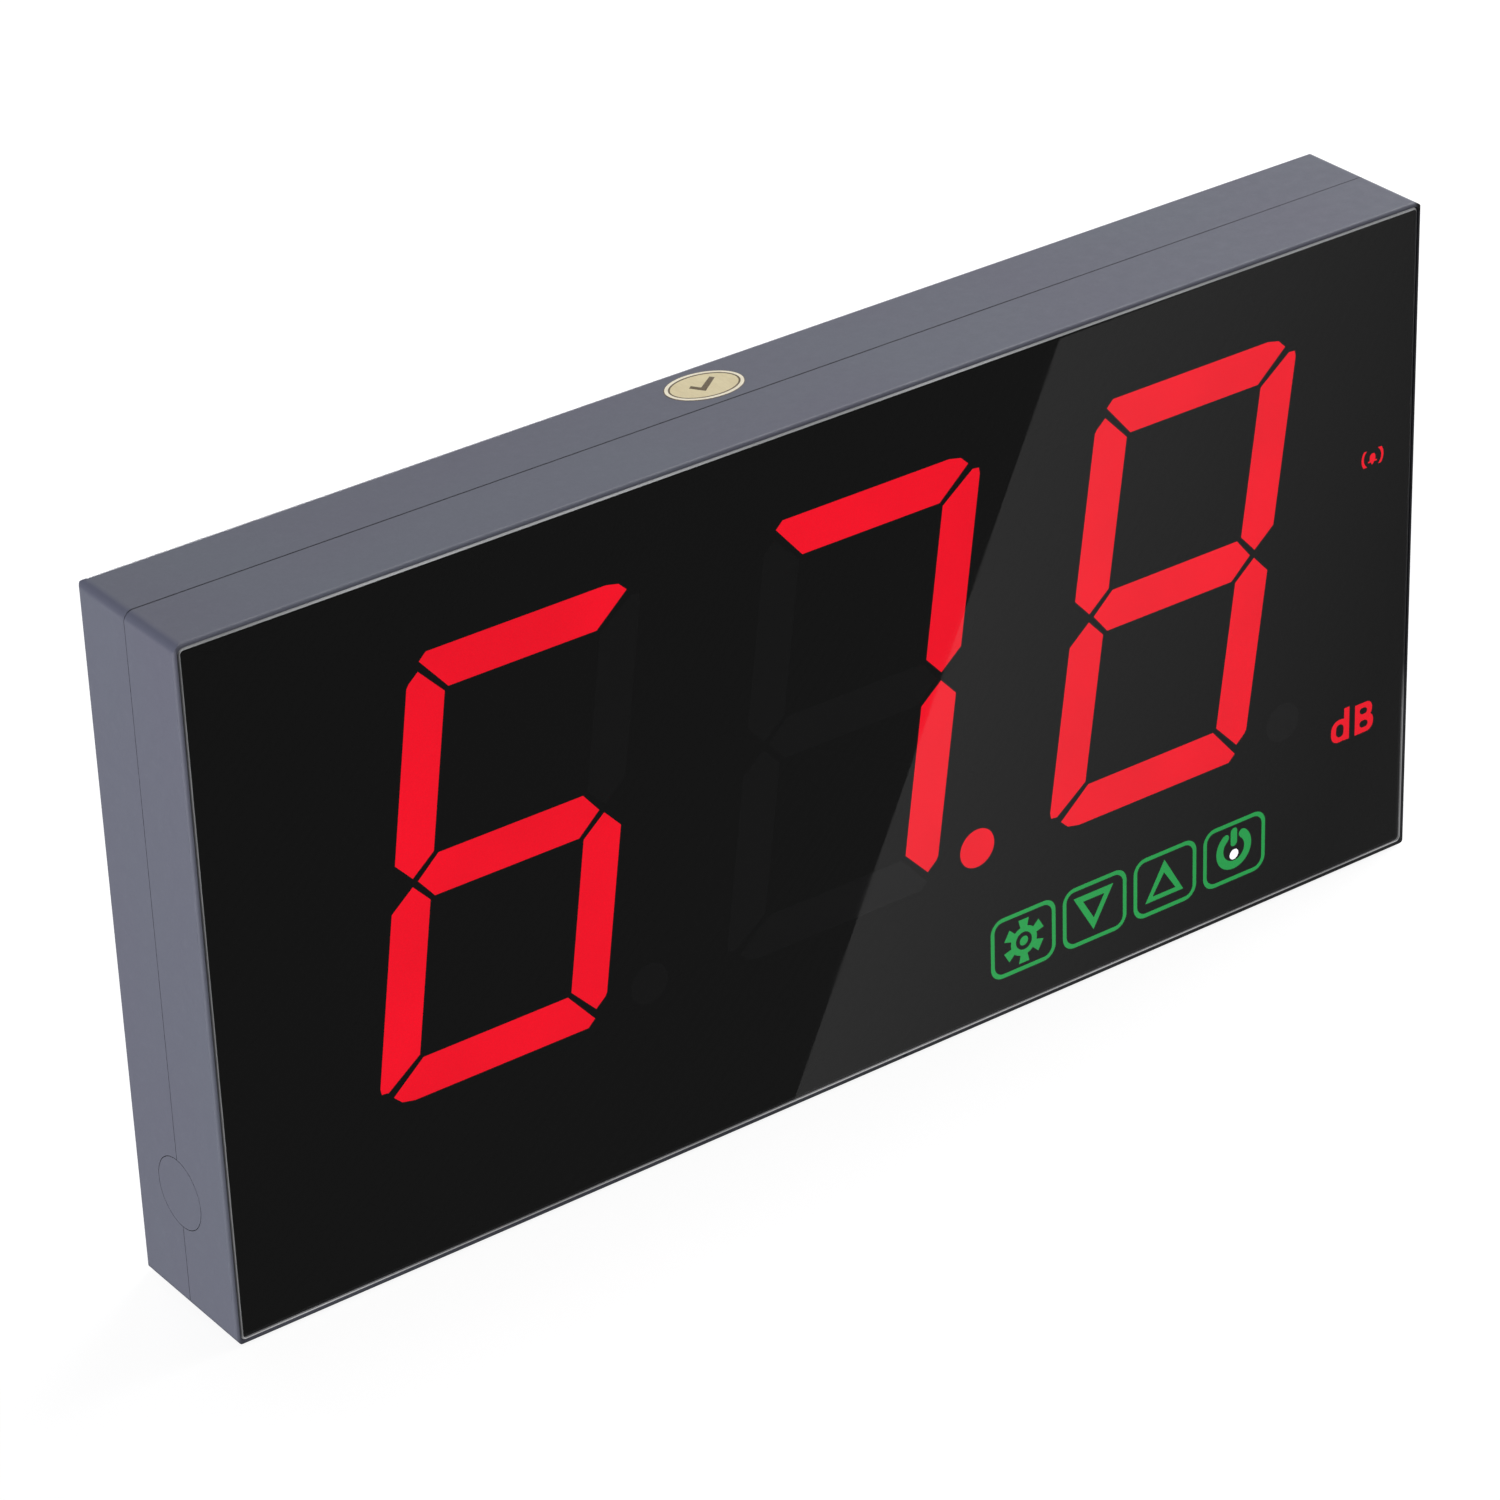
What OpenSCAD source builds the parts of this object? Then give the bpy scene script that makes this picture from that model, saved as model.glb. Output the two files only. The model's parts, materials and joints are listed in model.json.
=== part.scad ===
// Wall-hanging sound level meter with a three-digit light-segment display.
// Millimetres. X runs left to right as seen from the front, Y from the front
// to the wall, Z up. The origin is the middle of the case's footprint.

/* [Case] */
// Overall width of the case
case_w = 400; // [396:1:420]
// Overall height of the case
case_h = 204; // [203:1:212]
// Overall depth of the case, front face to wall
case_d = 45.5; // [44:0.5:54]
// Depth of the front shell, up to the parting line
front_depth = 23; // [22.5:0.5:24]
// Thickness of the moulded walls
wall = 2.5; // [2.2:0.1:2.8]
// Radius of the four corners seen from the front
corner_r = 2.8; // [2:0.2:4]
// Rounding of the front edge
front_edge_r = 1; // [0.8:0.1:1.4]
// Rounding of the rear edge
rear_edge_r = 2; // [1:0.25:2.5]

/* [Front panel] */
// Width of the rim that shows round the panel
rim_w = 1.05; // [0.9:0.05:1.3]
// Gap between the rim and the panel's edge
rim_gap = 0.3; // [0.2:0.05:0.5]
// Thickness of the acrylic panel
panel_t = 2; // [1.5:0.25:2]
// Bevel polished on the panel's front edge
panel_bevel = 0.5; // [0.3:0.1:0.8]

/* [Digits] */
// Height of a lit numeral
digit_h = 127; // [110:0.2:128]
// Width of an upright numeral before it leans
digit_w = 70.9; // [60:0.1:72]
// Width of one light segment
seg_w = 11.9; // [9:0.1:13]
// Gap between neighbouring segments
seg_gap = 1.4; // [1.2:0.1:2]
// Lean of the numerals, in degrees
slant = 8.3; // [0:0.1:8.4]
// Spacing of the numerals
digit_pitch = 110; // [110:0.1:111]
// Position of the middle numeral from the case's centre line
digit_x = 2.4; // [0:0.1:3]
// Height of the numerals' centre above the case's base
digit_z = 114; // [112:0.2:116]

/* [Touch keys] */
// Spacing of the four touch keys
key_pitch = 25.6; // [25.5:0.1:26]
// Position of the first key from the case's centre line
key_x = 59; // [55:0.1:59]
// Height of the keys' centres above the base
key_z = 21.1; // [20.5:0.1:21.2]

/* [Wall hanging] */
// Distance between the two keyholes
keyhole_span = 200; // [160:10:240]
// Height of the keyholes' round entries above the base
keyhole_z = 160; // [150:1:165]
// Diameter of the round entry
keyhole_d = 9; // [8:0.5:10]
// Width of the slot above the entry
keyhole_slot = 4.5; // [4:0.1:5]

/* [Side ports] */
// Diameter of the round ports on the two sides
port_d = 20.7; // [18:0.1:21]
// Height of the ports above the base
port_z = 35.5; // [33:0.1:36]

/* [Calibration trimmer] */
// Turn of the trimmer's rotor from its middle position, in degrees
trim_turn = 0; // [-130:5:130]

/* [Hidden] */
$fn = 64;

yf = -case_d / 2;                 // front face
yb = case_d / 2;                  // rear face, against the wall
yp = yf + front_depth;            // parting plane
y_panel = yf + 0.1;               // panel's front face, just below the rim
y_mask = y_panel + panel_t;       // printed film behind the panel
mask_t = 0.25;
y_tape = y_mask + mask_t;         // tape and diffusers share this layer
tape_t = 0.3;
y_deck = y_tape + tape_t;         // front of the deck inside the front shell
deck_t = 2.2;
y_deck_rear = y_deck + deck_t;
housing_t = 13;
y_board = y_deck + housing_t;     // front of the display board
board_t = 1.6;
y_touch = y_deck_rear + 6;        // front of the touch board
y_rear_in = yb - wall;            // inside of the rear wall
y_main = y_rear_in - 7.25;        // front of the main board
main_t = 1.6;
zc = case_h / 2;
seam_w = 0.22;                    // groove at the parting line
seam_deep = 0.5;
panel_r = 1.6;                    // corners of the panel, in front view
digit_cx = [digit_x - digit_pitch, digit_x, digit_x + digit_pitch];
housing_w = 108;
housing_h = 142;
key_cx = [for (i = [0:3]) key_x + i * key_pitch];
lean_t = tan(slant);
unit_c = [180, 47.2];             // centre of the unit legend's light box
alarm_c = [185.2, 129.7];         // centre of the alarm legend's light box
dp_c = [40.85, -57.5];            // decimal point from the numeral's centre
dp_r = 6;
case_screw_x = [-188, 0, 188];
case_screw_z = [7, case_h - 7];
post_x = [-155, -53, 57, 158];
post_z = [digit_z - 75.2, digit_z + 73.8];
main_hole = [[26, 78], [114, 78], [26, 10], [114, 10]];
touch_hole_x = [43.5, 151.5];
jack = [45, y_main - 6];          // socket axis, X and Y
trimmer = [100, 30];              // rotor axis, X and Z

// numeral shapes: a to g clockwise from the top bar, g in the middle
TENS = [0, 2, 3, 4, 5, 6];        // shows 6
UNITS = [0, 1, 2];                // shows 7
TENTHS = [0, 1, 2, 3, 4, 5, 6];   // shows 8
DARK_TENS = [1];
DARK_UNITS = [3, 4, 5, 6];

// ---------- helpers ----------

// a flat plate of the 2D shape drawn in X and Z, t thick, with its front at y
module slab(y, t) translate([0, y + t, 0]) rotate([90, 0, 0]) linear_extrude(height = t) children();

// a cylinder along Y from y0 to y1 at x, z
module peg(x, z, r, y0, y1) translate([x, y1, z]) rotate([90, 0, 0]) cylinder(r = r, h = y1 - y0);

// a box between two corners
module block(a, b) translate(a) cube([b[0] - a[0], b[1] - a[1], b[2] - a[2]]);

// a centred rectangle with round corners
module rrect(w, h, r) {
  square([w - 2 * r, h], center = true);
  square([w, h - 2 * r], center = true);
  for (sx = [-1, 1], sy = [-1, 1]) translate([sx * (w / 2 - r), sy * (h / 2 - r)]) circle(r = r);
}

// outline of a tray seen end-on: w wide, d deep, round at the y = 0 side
module tray2d(w, d, r) {
  translate([-w / 2, r]) square([w, d - r]);
  translate([-w / 2 + r, 0]) square([w - 2 * r, 2 * r]);
  for (s = [-1, 1]) translate([s * (w / 2 - r), r]) circle(r = r);
}

// solid block of half the case, rounded on one side and square at the parting plane
module shell_block(front) {
  d = front ? front_depth : case_d - front_depth;
  r = front ? front_edge_r : rear_edge_r;
  intersection() {
    slab(front ? yf : yp, d) translate([0, zc]) rrect(case_w, case_h, corner_r);
    linear_extrude(height = case_h)
      translate([0, front ? yf : yb]) rotate(front ? 0 : 180) tray2d(case_w, d, r);
    translate([-case_w / 2, 0, 0]) rotate([90, 0, 90]) linear_extrude(height = case_w)
      translate([front ? yf : yb, zc]) rotate(front ? -90 : 90) tray2d(case_h, d, r);
  }
}

module cavity2d(inset) translate([0, zc]) rrect(case_w - 2 * inset, case_h - 2 * inset, 1);

// leans a list of points to the right
function lean(pts) = [for (p = pts) [p[0] + p[1] * lean_t, p[1]]];
function flip(pts) = [for (p = pts) [-p[0], -p[1]]];

// outline of segment i of a numeral about its centre, grown by e on every side
function seg_pts(i, e) =
  let (w = digit_w / 2 + e, h = digit_h / 2 + e, s = seg_w + 2 * e,
       g = (seg_gap - 2 * e) * 0.72, c1 = 2.2, c2 = 3.4, m = s / 2,
       top = [[-w + c1 + g + 1.9, h], [-w + c1 + g, h - c1 + 0.1], [-w + s + g, h - s],
              [w - s - g, h - s], [w - c2 - g, h - c2], [w - c2 - g - 2.9, h - 0.9], [w - c2 - g - 7, h]],
       ul = [[-w + m, g + 0.1], [-w + s, m - 0.2 + g], [-w + s, h - s - g], [-w + c1 + 0.9, h - c1 - g - 1.6],
             [-w + 0.5, h - c1 - g - 4.2], [-w, h - 8.5], [-w, m - 0.2 + g]],
       ur = [[w - m, g + 0.1], [w, m - 0.2 + g], [w, h - 7.5], [w - 0.6, h - 4.6 - g],
             [w - c2 + 0.5, h - c2 - g - 0.9], [w - s, h - s - g], [w - s, m - 0.2 + g]],
       mid = [[-w + m + g + 0.5, 0], [-w + s + g + 0.3, s / 2 + 0.1], [w - s - g - 0.3, s / 2 + 0.1],
              [w - m - g - 0.5, 0], [w - s - g - 0.3, -s / 2 - 0.1], [-w + s + g + 0.3, -s / 2 - 0.1]])
  lean(i == 0 ? top : i == 1 ? ur : i == 2 ? flip(ul) : i == 3 ? flip(top)
     : i == 4 ? flip(ur) : i == 5 ? ul : mid);

module segs2d(n, list, e = 0)
  translate([digit_cx[n], digit_z]) for (i = list) polygon(seg_pts(i, e));

module dp2d(n, e = 0) translate([digit_cx[n] + dp_c[0], digit_z + dp_c[1]]) circle(r = dp_r + e);

// ---------- legends ----------

module gear2d() difference() {
  union() {
    circle(r = 4.7);
    for (a = [30:60:330]) rotate(a) polygon([[3.8, -1.15], [7.1, -1.95], [7.1, 1.95], [3.8, 1.15]]);
  }
  difference() { circle(r = 2.75); circle(r = 1.55); }
}

module triangle2d(w, h, ix, iy, ih) difference() {
  polygon([[-w / 2, 0], [w / 2, 0], [0, h]]);
  polygon([[-ix, iy], [ix, iy], [0, iy + ih]]);
}

module power_bar2d() {
  translate([-1.3, 2.1]) square([2.6, 3.5]);
  translate([0, 2.1]) circle(r = 1.3);
  translate([0, 5.6]) circle(r = 1.3);
}

module power_ring2d() {
  difference() {
    circle(r = 6.6);
    circle(r = 3.8);
    polygon([[0, 0], [-8, 11], [8, 11]]);
  }
  for (s = [-1, 1]) rotate(s * 36) translate([0, 5.2]) circle(r = 1.32);
}

module key_frame2d() difference() { rrect(23.2, 19.6, 4.4); rrect(20.2, 16.6, 2.9); }

// all that is cut out of the film in front of key i
module key_legend2d(i) translate([key_cx[i], key_z]) {
  key_frame2d();
  if (i == 0) translate([0.2, -0.3]) gear2d();
  if (i == 1) translate([-0.4, 6.2]) mirror([0, 1]) triangle2d(14.6, 12.6, 3.7, 2.2, 6.3);
  if (i == 2) translate([-0.3, -5.5]) triangle2d(14.2, 12.3, 4.1, 1.7, 6.2);
  if (i == 3) translate([-0.15, 0.6]) { power_ring2d(); power_bar2d(); }
}

module power_dot2d(e = 0) translate([key_cx[3] - 0.05, key_z - 1.25]) circle(r = 1.7 + e);

module unit2d() translate([171.7, 42.15]) {
  difference() {
    union() { translate([4.85, 0]) square([2.2, 10.6]); translate([3.4, 3.75]) rrect(6.8, 7.5, 3.1); }
    translate([3.4, 3.75]) rrect(2.6, 4, 1.25);
  }
  translate([9, 0]) difference() {
    union() { square([3, 9.9]); translate([3.35, 7.2]) rrect(6.7, 5.4, 2.5); translate([3.6, 2.95]) rrect(7.2, 5.9, 2.7); }
    translate([3.3, 7.15]) rrect(2.6, 1.9, 0.9);
    translate([3.45, 2.9]) rrect(2.9, 2.1, 1);
  }
}

// a bell between two curved bars
module alarm2d() translate([185.15, 129.85]) {
  for (s = [-1, 1]) difference() {
    circle(r = 4.2);
    circle(r = 3.15);
    translate([-s * 5, 0]) square([12.8, 12], center = true);
    translate([0, 7.6]) square([12, 10], center = true);
    translate([0, -7.6]) square([12, 10], center = true);
  }
  translate([0, 0.2]) circle(r = 1.15);
  translate([-1.15, -1.1]) square([2.3, 1.3]);
  translate([-1.75, -1.45]) square([3.5, 0.6]);
  translate([0, -1.6]) circle(r = 0.55);
}

// ---------- case ----------

module port_cut(s, r, x0, x1) translate([s * x0, yp, port_z]) rotate([0, 90 * s, 0]) cylinder(r = r, h = x1 - x0);

module front_shell() color([0.44, 0.45, 0.50]) difference() {
  union() {
    difference() {
      shell_block(true);
      slab(y_deck_rear, yp - y_deck_rear + 1) cavity2d(wall);
    }
    for (x = case_screw_x, z = case_screw_z) peg(x, z, 3.8, y_deck_rear - 0.5, yp);
    for (x = post_x, z = post_z) peg(x, z, 2.4, y_deck_rear - 0.5, y_board);
    for (x = touch_hole_x) peg(x, key_z, 2.4, y_deck_rear - 0.5, y_touch);
  }
  // seat for the panel
  slab(yf - 1, y_deck - yf + 1) translate([0, zc]) rrect(case_w - 2 * rim_w, case_h - 2 * rim_w, panel_r + rim_gap);
  // windows in the deck
  slab(y_deck - 1, deck_t + 2) translate([digit_x, digit_z])
    square([2 * digit_pitch + housing_w + 0.4, housing_h + 0.4], center = true);
  slab(y_deck - 1, deck_t + 2) translate(unit_c) square([20.4, 14.4], center = true);
  slab(y_deck - 1, deck_t + 2) translate(alarm_c) square([13.4, 9.4], center = true);
  for (x = key_cx) slab(y_deck - 1, deck_t + 2) translate([x, key_z]) rrect(23.6, 20.4, 3);
  // pilot holes for the screws
  for (x = case_screw_x, z = case_screw_z) peg(x, z, 1.5, yp - 14, yp + 1);
  for (x = post_x, z = post_z) peg(x, z, 1.25, y_board - 8, y_board + 1);
  for (x = touch_hole_x) peg(x, key_z, 1.25, y_touch - 5, y_touch + 1);
  // fine groove round the case at the parting line
  slab(yp - seam_w, seam_w + 1) difference() {
    translate([0, zc]) square([case_w + 4, case_h + 4], center = true);
    translate([0, zc]) rrect(case_w - 2 * seam_deep, case_h - 2 * seam_deep, corner_r - seam_deep);
  }
  // half of each side port
  for (s = [-1, 1]) port_cut(s, port_d / 2, case_w / 2 - wall - 1, case_w / 2 + 1);
  // pry notch in the bottom rim
  block([15.5, yf - 1, 0.5], [17.2, yf + 0.9, 2]);
}

module rear_shell() color([0.44, 0.45, 0.50]) difference() {
  union() {
    difference() {
      shell_block(false);
      slab(yp - 1, y_rear_in - yp + 1) cavity2d(wall);
    }
    // lip that slides inside the front shell
    difference() {
      union() {
        slab(yp - 2, 2.5) difference() { cavity2d(wall + 0.1); cavity2d(wall + 1.6); }
        slab(yp, 2.5) difference() { cavity2d(wall - 0.5); cavity2d(wall + 1.6); }
      }
      for (x = case_screw_x, z = case_screw_z) peg(x, z, 4.1, yp - 3, yp);
      for (s = [-1, 1]) port_cut(s, 12.3, case_w / 2 - wall - 4, case_w / 2 - wall);
      block([jack[0] - 5, yp - 3, 0], [jack[0] + 5, yp + 4, wall + 3]);
    }
    for (x = case_screw_x, z = case_screw_z) peg(x, z, 5.2, yp, yb - 1);
    for (p = main_hole) peg(p[0], p[1], 3.2, y_main + main_t, y_rear_in + 0.5);
    // closed pockets behind the keyholes
    for (s = [-1, 1]) block([s * keyhole_span / 2 - 8, y_rear_in - 6.2, keyhole_z - 8],
                            [s * keyhole_span / 2 + 8, y_rear_in + 0.5, keyhole_z + 19]);
  }
  // screws: clearance and counterbore
  for (x = case_screw_x, z = case_screw_z) {
    peg(x, z, 1.7, yp - 1, yp + 5);
    peg(x, z, 3.6, yp + 4, yb + 1);
  }
  for (p = main_hole) peg(p[0], p[1], 1.5, y_main, y_rear_in + 1);
  // keyholes
  for (s = [-1, 1]) translate([s * keyhole_span / 2, 0, 0]) {
    block([-6.5, y_rear_in - 4.7, keyhole_z - 6.5], [6.5, y_rear_in, keyhole_z + 17.5]);
    peg(0, keyhole_z, keyhole_d / 2, y_rear_in - 1, yb + 1);
    peg(0, keyhole_z + 10, keyhole_slot / 2, y_rear_in - 1, yb + 1);
    block([-keyhole_slot / 2, y_rear_in - 1, keyhole_z], [keyhole_slot / 2, yb + 1, keyhole_z + 10]);
  }
  // cooling slots
  for (i = [-5:5]) slab(y_rear_in - 1, wall + 2) translate([i * 9, keyhole_z + 8]) rrect(3, 24, 1.49);
  for (i = [-5:5]) slab(y_rear_in - 1, wall + 2) translate([i * 9 - 100, 44]) rrect(3, 24, 1.49);
  // screwdriver access to the trimmer
  peg(trimmer[0], trimmer[1], 2.4, y_rear_in - 1, yb + 1);
  // hole for the power socket's nose
  translate([jack[0], jack[1], -1]) cylinder(r = 4.2, h = wall + 2);
  // half of each side port, clear of the port pieces' flanges
  for (s = [-1, 1]) port_cut(s, port_d / 2, case_w / 2 - wall - 1, case_w / 2 + 1);
  for (s = [-1, 1]) port_cut(s, 12.3, case_w / 2 - wall - 3, case_w / 2 - wall);
}

module blanking_plug() color([0.44, 0.45, 0.50]) {
  port_piece(-1);
}

// a disc that fills a side port, with a flange inside the wall
module port_piece(s) union() {
  port_cut(s, port_d / 2 - 0.22, case_w / 2 - wall - 0.5, case_w / 2);
  port_cut(s, 12, case_w / 2 - wall - 1.6, case_w / 2 - wall - 0.05);
}

module case_screws() color([0.62, 0.62, 0.63])
  for (x = case_screw_x, z = case_screw_z) screw(x, z, yp + 4, 1, 1.45, 14, 2.75, 2);

// pan-head screw: head seated at y, dir +1 when the head is towards the wall
module screw(x, z, y, dir, r, len, head_r, head_t) translate([x, y, z]) rotate([dir > 0 ? -90 : 90, 0, 0]) difference() {
  union() {
    cylinder(r = head_r, h = head_t);
    translate([0, 0, -len + 1]) cylinder(r = r, h = len);
    translate([0, 0, -len]) cylinder(r1 = r * 0.5, r2 = r, h = 1);
  }
  for (a = [0, 90]) rotate(a) translate([-head_r * 0.55, -head_r * 0.13, head_t * 0.45]) cube([head_r * 1.1, head_r * 0.26, head_t]);
}

module inspection_sticker() color([0.86, 0.80, 0.65])
  translate([-18.9, 10.7, case_h]) rotate(-7) linear_extrude(height = 0.12)
    polygon([for (i = [0:71]) [11.25 * cos(5 * i), 7.9 * sin(5 * i)]]);

// ---------- front panel ----------

module panel_outline(w, d) polygon([[-w / 2 + panel_bevel, 0], [w / 2 - panel_bevel, 0],
  [w / 2, panel_bevel * 0.45], [w / 2, d], [-w / 2, d], [-w / 2, panel_bevel * 0.45]]);

module front_panel() color([0.05, 0.05, 0.06, 0.5]) {
  w = case_w - 2 * (rim_w + rim_gap);
  h = case_h - 2 * (rim_w + rim_gap);
  intersection() {
    slab(y_panel, panel_t) translate([0, zc]) rrect(w, h, panel_r);
    translate([0, y_panel, 0]) linear_extrude(height = case_h) panel_outline(w, panel_t);
    translate([-case_w / 2, y_panel, zc]) rotate([90, 0, 90]) linear_extrude(height = case_w)
      rotate(-90) panel_outline(h, panel_t);
  }
}

module panel_mask() color([0.02, 0.02, 0.022]) slab(y_mask, mask_t) difference() {
  translate([0, zc]) rrect(case_w - 2 * rim_w - 2.4, case_h - 2 * rim_w - 2.4, 0.7);
  for (n = [0:2]) segs2d(n, TENTHS);
  for (n = [0:2]) dp2d(n);
  for (i = [0:3]) key_legend2d(i);
  power_dot2d();
  unit2d();
  alarm2d();
}

module panel_tape() color([0.15, 0.15, 0.15]) slab(y_tape, tape_t) difference() {
  translate([0, zc]) rrect(case_w - 2 * rim_w - 2.6, case_h - 2 * rim_w - 2.6, 0.6);
  translate([0, zc + 0.4]) rrect(case_w - 2 * rim_w - 13, case_h - 2 * rim_w - 13, 1);
}

// ---------- display ----------

module digit_housing(n) color([0.07, 0.07, 0.08]) slab(y_deck, housing_t) difference() {
  translate([digit_cx[n], digit_z]) square([housing_w, housing_h], center = true);
  segs2d(n, TENTHS, 0.3);
  dp2d(n, 0.3);
}

module digit_housing_tens() digit_housing(0);
module digit_housing_units() digit_housing(1);
module digit_housing_tenths() digit_housing(2);

module lenses(n, list) slab(y_tape, tape_t + 1.2) segs2d(n, list, 0.25);

module lit_segments_tens() color([0.93, 0.08, 0.17]) lenses(0, TENS);
module lit_segments_units() color([0.93, 0.08, 0.17]) lenses(1, UNITS);
module lit_segments_tenths() color([0.93, 0.08, 0.17]) lenses(2, TENTHS);

module dark_segments() color([0.06, 0.06, 0.06]) {
  lenses(0, DARK_TENS);
  lenses(1, DARK_UNITS);
  for (n = [0, 2]) slab(y_tape, tape_t + 1.2) dp2d(n, 0.25);
}

module decimal_point_lens() color([0.93, 0.08, 0.17]) slab(y_tape, tape_t + 1.2) dp2d(1, 0.25);

module light_box(c, w, h) difference() {
  slab(y_deck, housing_t) translate(c) square([w, h], center = true);
  slab(y_deck - 1, housing_t + 2) translate(c) square([w - 2.4, h - 2.4], center = true);
}

module unit_light_box() color([0.9, 0.9, 0.88]) light_box(unit_c, 20, 14);
module alarm_light_box() color([0.9, 0.9, 0.88]) light_box(alarm_c, 13, 9);
module unit_diffuser() color([0.93, 0.08, 0.17]) slab(y_tape, tape_t) translate(unit_c) square([20, 14], center = true);
module alarm_diffuser() color([0.93, 0.08, 0.17]) slab(y_tape, tape_t) translate(alarm_c) square([13, 9], center = true);

module display_board() color([0.05, 0.25, 0.15]) slab(y_board, board_t) difference() {
  translate([9, digit_z - 1.3]) rrect(366, 157, 1.5);
  translate([185.5, 0]) square([10, 43]);
  for (x = post_x, z = post_z) translate([x, z]) circle(r = 1.5);
}

module display_board_screws() color([0.62, 0.62, 0.63])
  for (x = post_x, z = post_z) screw(x, z, y_board + board_t, 1, 1.2, 8, 2.4, 1.7);

// surface-mounted light source standing on the plane y
module led(x, z, y) block([x - 1.4, y - 1.9, z - 1.75], [x + 1.4, y, z + 1.75]);

module display_leds() color([0.95, 0.93, 0.85]) {
  for (n = [0:2]) {
    x0 = digit_cx[n];
    for (k = [-1, 1], i = [-2:2]) led(x0 + i * 9.5 + k * (digit_h / 2 - 6) * lean_t, digit_z + k * (digit_h / 2 - 6), y_board);
    for (i = [-2:2]) led(x0 + i * 9, digit_z, y_board);
    for (s = [-1, 1], k = [-1, 1], i = [0:4]) {
      z = k * (12 + i * 9.5);
      led(x0 + s * (digit_w - seg_w) / 2 + z * lean_t, digit_z + z, y_board);
    }
    led(x0 + dp_c[0], digit_z + dp_c[1], y_board);
  }
  for (i = [-1, 0, 1]) led(unit_c[0] + i * 5, unit_c[1], y_board);
  for (i = [-1, 1]) led(alarm_c[0] + i * 2.5, alarm_c[1], y_board);
}

// chip package with legs along both long sides, lying on the plane y
module chip(x, z, y, w, h, legs) {
  block([x - w / 2, y, z - h / 2], [x + w / 2, y + 1.5, z + h / 2]);
  for (s = [-1, 1], i = [0:legs - 1]) {
    lx = x - w / 2 + w * (i + 0.5) / legs;
    block([lx - 0.2, y, z + s * (h / 2 + 0.5) - 0.55], [lx + 0.2, y + 0.7, z + s * (h / 2 + 0.5) + 0.55]);
  }
}

module driver_chips() color([0.08, 0.08, 0.09])
  for (x = [-108, -20, 20, 112]) chip(x, 120, y_board + board_t, 10, 4, 8);

// ---------- touch keys ----------

module key_diffusers() color([0.17, 0.63, 0.32]) {
  for (i = [0:2]) slab(y_tape, tape_t) translate([key_cx[i], key_z]) rrect(25, 22, 3);
  slab(y_tape, tape_t) difference() {
    translate([key_cx[3], key_z]) rrect(25, 22, 3);
    power_dot2d(0.4);
  }
}

module power_dot_lens() color([0.95, 0.95, 0.95]) slab(y_tape, tape_t) power_dot2d(0.35);

module key_light_box() color([0.9, 0.9, 0.88]) slab(y_deck_rear, 6) difference() {
  translate([(key_cx[0] + key_cx[3]) / 2, key_z]) rrect(3 * key_pitch + 25.4, 22, 1);
  for (x = key_cx) translate([x, key_z]) rrect(23.6, 19.6, 2);
}

module touch_board() color([0.05, 0.25, 0.15]) slab(y_touch, board_t) difference() {
  translate([97.5, key_z]) rrect(115, 25, 1.5);
  for (x = touch_hole_x) translate([x, key_z]) circle(r = 1.5);
}

module touch_board_screws() color([0.62, 0.62, 0.63])
  for (x = touch_hole_x) screw(x, key_z, y_touch + board_t, 1, 1.2, 5.5, 2.4, 1.7);

// points of a round wire swept along a path p, n points round
function unit(v) = v / norm(v);
function tangent(p, i) = unit(p[min(i + 1, len(p) - 1)] - p[max(i - 1, 0)]);
function ring(c, t, up, r, n) =
  let (u = unit(cross(t, up)), v = cross(u, t))
  [for (k = [0:n - 1]) c + r * (u * cos(360 * k / n) + v * sin(360 * k / n))];

module wire(p, r, n, up) {
  m = len(p);
  pts = [for (i = [0:m - 1]) each ring(p[i], tangent(p, i), up, r, n)];
  polyhedron(points = pts, faces = concat(
    [[for (k = [0:n - 1]) k]],
    [[for (k = [n - 1:-1:0]) (m - 1) * n + k]],
    [for (i = [0:m - 2], k = [0:n - 1]) [i * n + k, (i + 1) * n + k, (i + 1) * n + (k + 1) % n, i * n + (k + 1) % n]]));
}

module touch_springs() color([0.75, 0.75, 0.76]) {
  turns = 4;
  step = 10;
  y0 = y_tape + tape_t + 0.4;
  y1 = y_touch - 0.4;
  for (x = key_cx) wire([for (i = [0:turns * step])
    [x + 5.5 * cos(i * 360 / step), y0 + (y1 - y0) * i / (turns * step), key_z + 5.5 * sin(i * 360 / step)]], 0.35, 6, [0, 1, 0]);
}

module key_leds() color([0.95, 0.93, 0.85])
  for (x = key_cx, s = [-1, 1]) led(x + s * 8.5, key_z + 5, y_touch);

module touch_chip() color([0.08, 0.08, 0.09]) chip(110, key_z, y_touch + board_t, 6, 4, 6);

// ---------- electronics on the rear shell ----------

module main_board() color([0.05, 0.25, 0.15]) slab(y_main, main_t) difference() {
  translate([70, 44]) rrect(100, 80, 1.5);
  for (p = main_hole) translate(p) circle(r = 1.7);
}

module main_board_screws() color([0.62, 0.62, 0.63])
  for (p = main_hole) screw(p[0], p[1], y_main, -1, 1.45, 7, 2.75, 2);

module microcontroller() color([0.08, 0.08, 0.09]) {
  block([83, y_main - 1.4, 27], [93, y_main, 37]);
  for (s = [-1, 1], i = [0:7]) {
    block([84.2 + i * 1.09 - 0.2, y_main - 0.6, 32 + s * 5.5 - 0.5], [84.2 + i * 1.09 + 0.2, y_main, 32 + s * 5.5 + 0.5]);
    block([88 + s * 5.5 - 0.5, y_main - 0.6, 28.2 + i * 1.09 - 0.2], [88 + s * 5.5 + 0.5, y_main, 28.2 + i * 1.09 + 0.2]);
  }
}

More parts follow.
